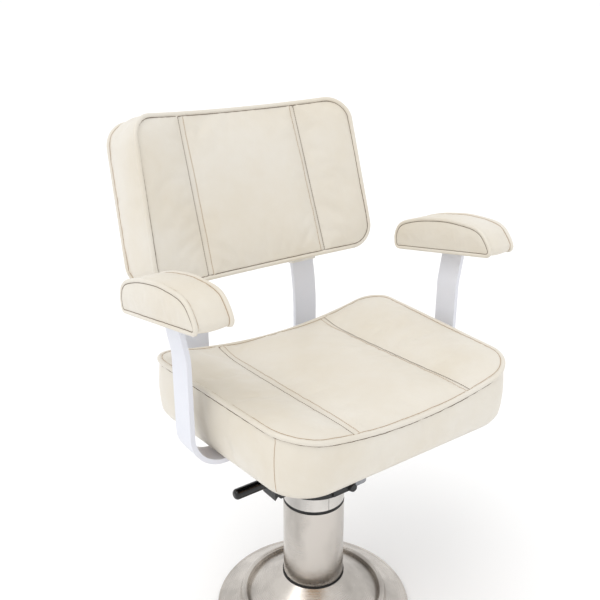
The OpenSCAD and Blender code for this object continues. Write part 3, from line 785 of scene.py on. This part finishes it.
def make_backrest():
    """Returns what its seams need: the body, place(), the height and the rearward direction."""
    s, c = math.sin(BACK_LEAN), math.cos(BACK_LEAN)
    along, rearward = Vector((0, s, c)), Vector((0, c, -s))
    low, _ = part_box("back_cover")
    panel_low, panel_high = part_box("rear_panel")
    deep, tall = panel_high.y - panel_low.y, panel_high.z - panel_low.z
    height = (tall - deep * s / c) / (c - s * s / c)
    thickness = (panel_high.y - low.y - height * s) / c
    foot_z = panel_high.z - height * c + (thickness - PANEL_THICKNESS) * s
    foot = Vector((0, low.y, foot_z))
    loop = evenly(cad_outline("rear_panel", ACROSS, along, foot), BACK_SPACING)
    seams = []
    for x in (-BACK_SEAM_X, BACK_SEAM_X):
        seams.append((snap(loop, Vector((x, 0.0))), snap(loop, Vector((x, height)))))
    normals = outward(loop)
    sheet = Sheet(loop, seams, BACK_SPACING)
    plain = Sheet(loop, [], BACK_REAR_SPACING)
    half = max(p.x for p in loop)

    def place(x, up, depth):
        share = up / height - 0.5
        narrowed = Vector((x * (1 - BACK_TAPER * share), 0, 0))
        return foot + narrowed + along * up + rearward * depth

    def dish(x, up):
        share = up / height
        deepest = BACK_DISH_FOOT + (BACK_DISH_TOP - BACK_DISH_FOOT) * share
        return deepest * max(0.0, 1 - (x / half) ** 2) ** BACK_DISH_CURVE

    def front(i):
        p = sheet.points[i]
        lift = crown(max(0.0, sheet.from_edge[i] - SEAM_FLAT), BACK_CROWN, BACK_CROWN_REACH)
        if 0 < BACK_SEAM_X - abs(p.x) < BAND_WIDTH:
            lift = BAND_RISE
        return place(p.x, p.y, dish(p.x, p.y) - lift - EDGE_LIFT)

    def wall(i, share):
        p, n = loop[i], normals[i]
        start = dish(p.x, p.y)
        q = p + n * (BOX_BULGE * math.sin(math.pi * share) ** BULGE_CURVE - WALL_IN)
        return place(q.x, q.y, start + (thickness - start) * share)

    def rear(i):
        p = plain.points[i]
        lift = crown(plain.from_edge[i], BACK_REAR_CROWN, BACK_REAR_REACH)
        return place(p.x, p.y, thickness + lift)

    body, held = stuffed_form("back_upholstery", sheet, front, wall, rear, BACK_WALL_ROWS, plain)
    stuff(body, held, CUSHION_PRESSURE, CUSHION_SWELL, CUSHION_SLACK)
    sink_creases(body, sheet)
    dress(body, materials["upholstery"])
    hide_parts("back_cover", "back_foam", "rear_panel")

    edges = (("back_piping_front", lambda p: dish(p.x, p.y)),
             ("back_piping_rear", lambda p: thickness))
    for name, depth in edges:
        points = [place(p.x - n.x * CORD_IN, p.y - n.y * CORD_IN, depth(p))
                  for p, n in zip(loop, normals)]
        piping(name, points,
               lambda i: Vector((normals[i].x, 0, 0)) + along * normals[i].y, CORD)
    # Thin dark lines of painted shade in the crevices where the piping meets the vinyl, at the
    # front, sides and rear.
    ahead = [place(p.x - n.x * EDGE_IN, p.y - n.y * EDGE_IN, -FAR_OFF)
             for p, n in zip(loop, normals)]
    crevice_shade_line("back_edge_front", body, ahead, [rearward] * len(loop), BOLD_LINE,
              thread_and_shade_materials["dark"])
    away = [(Vector((n.x, 0, 0)) + along * n.y).normalized() for n in normals]
    inward = [-v for v in away]
    for name, depth in (("back_edge_side", lambda p: dish(p.x, p.y) + EDGE_IN),
                        ("back_edge_rear", lambda p: thickness - EDGE_IN)):
        starts = [place(p.x, p.y, depth(p)) + v * OFF for p, v in zip(loop, away)]
        crevice_shade_line(name, body, starts, inward, FAINT_LINE, thread_and_shade_materials["soft"])
    return body, place, height, rearward


# ---------------------------------------------------------------- arm pads

PAD_SPACING = 4.5 * MM
PAD_SMOOTHING = 26                  # passes that ease the outline's flats into one curve
PAD_SQUARE_BELOW = 20 * MM          # the lower corners keep their shape
PAD_CROWN = 3.5 * MM
PAD_CROWN_REACH = 12 * MM
PAD_FACE_OUT = 1 * MM               # faces stand this far past the pad's CAD box
PAD_BULGE = 3.2 * MM
PAD_WALL_IN = 1.2 * MM
PAD_WALL_ROWS = 11
PAD_PRESSURE = 2.0
PAD_SWELL = 2 * MM
PAD_SLACK = 0.005
PAD_CORD = 3.8 * MM
PAD_CORD_IN = 0.4 * MM
PAD_EDGE_IN = 4 * MM


def smoothed(loop):
    """The loop above PAD_SQUARE_BELOW moved half way to its neighbours' middle, repeatedly."""
    for _ in range(PAD_SMOOTHING):
        loop = [p if p.y < PAD_SQUARE_BELOW
                else p * 0.5 + (loop[i - 1] + loop[(i + 1) % len(loop)]) * 0.25
                for i, p in enumerate(loop)]
    return loop


def make_arm_pad(name, side):
    """side is -1 for the pad on the -X side and 1 for the other."""
    node = f"arm_pad_{name}"
    low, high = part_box(node)
    s, c = math.sin(PAD_TILT), math.cos(PAD_TILT)
    forward, up = Vector((0, -c, s)), Vector((0, s, c))
    origin = Vector((0, high.y, low.z))
    loop = smoothed(evenly(cad_outline(node, forward, up, origin), PAD_SPACING))
    normals = outward(loop)
    sheet = Sheet(loop, [], PAD_SPACING)
    inner, outer = (high.x, low.x) if side < 0 else (low.x, high.x)
    out = ACROSS * side
    width = abs(outer - inner)

    def place(q, share, puff=0.0):
        """share is 0 on the pad's inner face and 1 on its outer face."""
        return origin + forward * q.x + up * q.y + out * (inner * side + width * share + puff)

    def swollen(i):
        return PAD_FACE_OUT + crown(sheet.from_edge[i], PAD_CROWN, PAD_CROWN_REACH)

    def outer_face(i):
        return place(sheet.points[i], 1.0, swollen(i))

    def inner_face(i):
        return place(sheet.points[i], 0.0, -swollen(i))

    def wall(i, share):
        bulge = PAD_BULGE * math.sin(math.pi * share) ** BULGE_CURVE - PAD_WALL_IN
        return place(loop[i] + normals[i] * bulge, 1 - share)

    body, held = stuffed_form(f"arm_upholstery_{name}", sheet, outer_face, wall, inner_face,
                              PAD_WALL_ROWS)
    stuff(body, held, PAD_PRESSURE, PAD_SWELL, PAD_SLACK)
    dress(body, materials["upholstery"])
    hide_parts(node)
    for edge, share, away in (("outer", 1.0, 1), ("inner", 0.0, -1)):
        points = [place(p - n * PAD_CORD_IN, share) for p, n in zip(loop, normals)]
        piping(f"arm_piping_{name}_{edge}", points,
               lambda i: forward * normals[i].x + up * normals[i].y, PAD_CORD)
        # Thin dark lines of painted shade in the crevices where the piping meets the vinyl.
        starts = [place(p - n * PAD_EDGE_IN, share, OFF * away)
                  for p, n in zip(loop, normals)]
        crevice_shade_line(f"arm_edge_{name}_{edge}", body, starts, [-out * away] * len(loop), LINE,
                  thread_and_shade_materials["dark"])
        starts = [place(p + n * OFF, share - away * PAD_EDGE_IN / width)
                  for p, n in zip(loop, normals)]
        inward = [-(forward * n.x + up * n.y) for n in normals]
        crevice_shade_line(f"arm_edge_{name}_{edge}_wrap", body, starts, inward, FAINT_LINE,
                  thread_and_shade_materials["soft"])


# ---------------------------------------------------------------- stitching, with painted seam shade

SEAM_STEPS = 120
SEAM_END = 5 * MM                   # stitching stops this far from the panel's edges
OUTER_ROW = 1.6 * MM                # dark stitch row outside the seam; its dark thread is painted shade of the seam's crease


def sew_panel(name, body, seam_x, start, end, above, direction):
    """Two rows of stitches at each of a panel's two seams, from start to end along it; the row
    outside the seam is real stitching in dark thread that is painted shade of the seam's crease.

    above(x, along) gives a point off the panel, from which direction leads onto it.
    """
    first = start + SEAM_END
    reach = end - start - 2 * SEAM_END
    along = [first + reach * i / SEAM_STEPS for i in range(SEAM_STEPS + 1)]
    for side, side_name in ((-1, "left"), (1, "right")):
        # The edge row's dark thread is painted shade of the seam's crease; the band row is plain
        # topstitching.
        for row, x, look in (("edge", seam_x + OUTER_ROW, "dark"),
                             ("band", seam_x - BAND_WIDTH, "soft")):
            starts = [above(side * x, y) for y in along]
            points, normals = surface_line(body, starts, [direction] * len(starts),
                                           STITCH_LIFT)
            dress(stitches(f"{name}_stitches_{side_name}_{row}", points, normals),
                  thread_and_shade_materials[look])


def sew_seams(seat, back, place, height, rearward):
    low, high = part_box("seat_cover")
    sew_panel("seat", seat, SEAT_SEAM_X, low.y, high.y,
              lambda x, y: Vector((x, y, high.z + FAR_OFF)), -UP)
    sew_panel("back", back, BACK_SEAM_X, 0.0, height,
              lambda x, y: place(x, y, -FAR_OFF), rearward)


# ---------------------------------------------------------------- CAD nodes

WELD_GAP = 0.02 * MM
BAR_EDGE = 2.2 * MM                 # the flat bars' rounding
BAR_EDGE_STEPS = 3
SHARP = math.radians(50)


def finish_cad_nodes():
    slots = {p["node"]: p["material_slot"] for p in frame["record"]["subparts"]}
    for node, obj in cad_nodes.items():
        obj.data.materials.clear()
        obj.data.materials.append(materials[slots[node]])


def round_bar_edges():
    """Rounds the long edges of the four flat bars; WELD joins the meshes' loose faces first."""
    for node in ("arm_bar_left", "arm_bar_right", "back_bar_left", "back_bar_right"):
        obj = cad_nodes[node]
        weld = obj.modifiers.new("weld", "WELD")
        weld.merge_threshold = WELD_GAP
        bevel = obj.modifiers.new("bevel", "BEVEL")
        bevel.width = BAR_EDGE
        bevel.segments = BAR_EDGE_STEPS
        bevel.limit_method = "ANGLE"
        bevel.angle_limit = SHARP
        bevel.harden_normals = True


# ---------------------------------------------------------------- floor and light

FLOOR_HALF = 60.0                   # metres, so that the horizon is out of sight
FLOOR_COLOUR = (0.95, 0.95, 0.952, 1)
FLOOR_ROUGHNESS = 0.9


def make_floor():
    half = FLOOR_HALF
    verts = [(-half, -half, 0), (half, -half, 0), (half, half, 0), (-half, half, 0)]
    mesh = bpy.data.meshes.new("floor")
    mesh.from_pydata(verts, [], [(0, 1, 2, 3)])
    floor = bpy.data.objects.new("floor", mesh)
    bpy.context.scene.collection.objects.link(floor)
    material = bpy.data.materials.new("floor")
    material.use_nodes = True
    shader = material.node_tree.nodes["Principled BSDF"]
    shader.inputs["Base Color"].default_value = FLOOR_COLOUR
    shader.inputs["Roughness"].default_value = FLOOR_ROUGHNESS
    mesh.materials.append(material)


WALL_LIGHT = 1.03                   # the studio's white walls, level with the chair
CEILING_LIGHT = 0.97
WALL_TOP = 0.05                     # heights, as the Z of a direction, between which the
CEILING_EDGE = 0.7                  # walls' light turns into the ceiling's
KEY_LIGHT = 0.85
KEY_FROM = (-0.5, -0.1, 1.0)
KEY_SPREAD = math.radians(42)
KEY_COLOUR = (1.0, 0.985, 0.965)


def make_light():
    """An even white studio, and one very soft overhead light."""
    world = bpy.data.worlds.new("studio")
    world.use_nodes = True
    tree = world.node_tree
    direction = tree.nodes.new("ShaderNodeTexCoord")
    split = tree.nodes.new("ShaderNodeSeparateXYZ")
    height = tree.nodes.new("ShaderNodeMapRange")
    height.inputs["From Min"].default_value = WALL_TOP
    height.inputs["From Max"].default_value = CEILING_EDGE
    height.inputs["To Min"].default_value = WALL_LIGHT
    height.inputs["To Max"].default_value = CEILING_LIGHT
    tree.links.new(direction.outputs["Generated"], split.inputs[0])
    tree.links.new(split.outputs["Z"], height.inputs["Value"])
    tree.links.new(height.outputs["Result"], tree.nodes["Background"].inputs["Strength"])
    tree.nodes["Background"].inputs["Color"].default_value = (1.0, 1.0, 1.0, 1)
    bpy.context.scene.world = world
    data = bpy.data.lights.new("soft_key", "SUN")
    data.energy = KEY_LIGHT
    data.angle = KEY_SPREAD
    data.color = KEY_COLOUR
    key = bpy.data.objects.new("soft_key", data)
    key.rotation_euler = Vector(KEY_FROM).to_track_quat("Z", "Y").to_euler()
    bpy.context.scene.collection.objects.link(key)


make_camera()
materials = make_materials()
# dark: lines of painted shade in the crevices at the piping, and the stitch row beside each
# seam, whose dark thread is painted seam shade; soft: topstitching thread, also used for fainter
# lines of painted crevice shade.
thread_and_shade_materials = {"dark": thread_and_shade_line("seam_thread_and_painted_crevice_shade", srgb(100, 74, 48), srgb(84, 60, 38)),
          "soft": thread_and_shade_line("topstitch_thread_and_painted_crevice_shade", srgb(178, 150, 116), srgb(160, 130, 96))}
finish_cad_nodes()
round_bar_edges()
seat_body = make_seat()
back_body, back_place, back_height, back_rearward = make_backrest()
make_arm_pad("left", -1)
make_arm_pad("right", 1)
sew_seams(seat_body, back_body, back_place, back_height, back_rearward)
make_floor()
make_light()
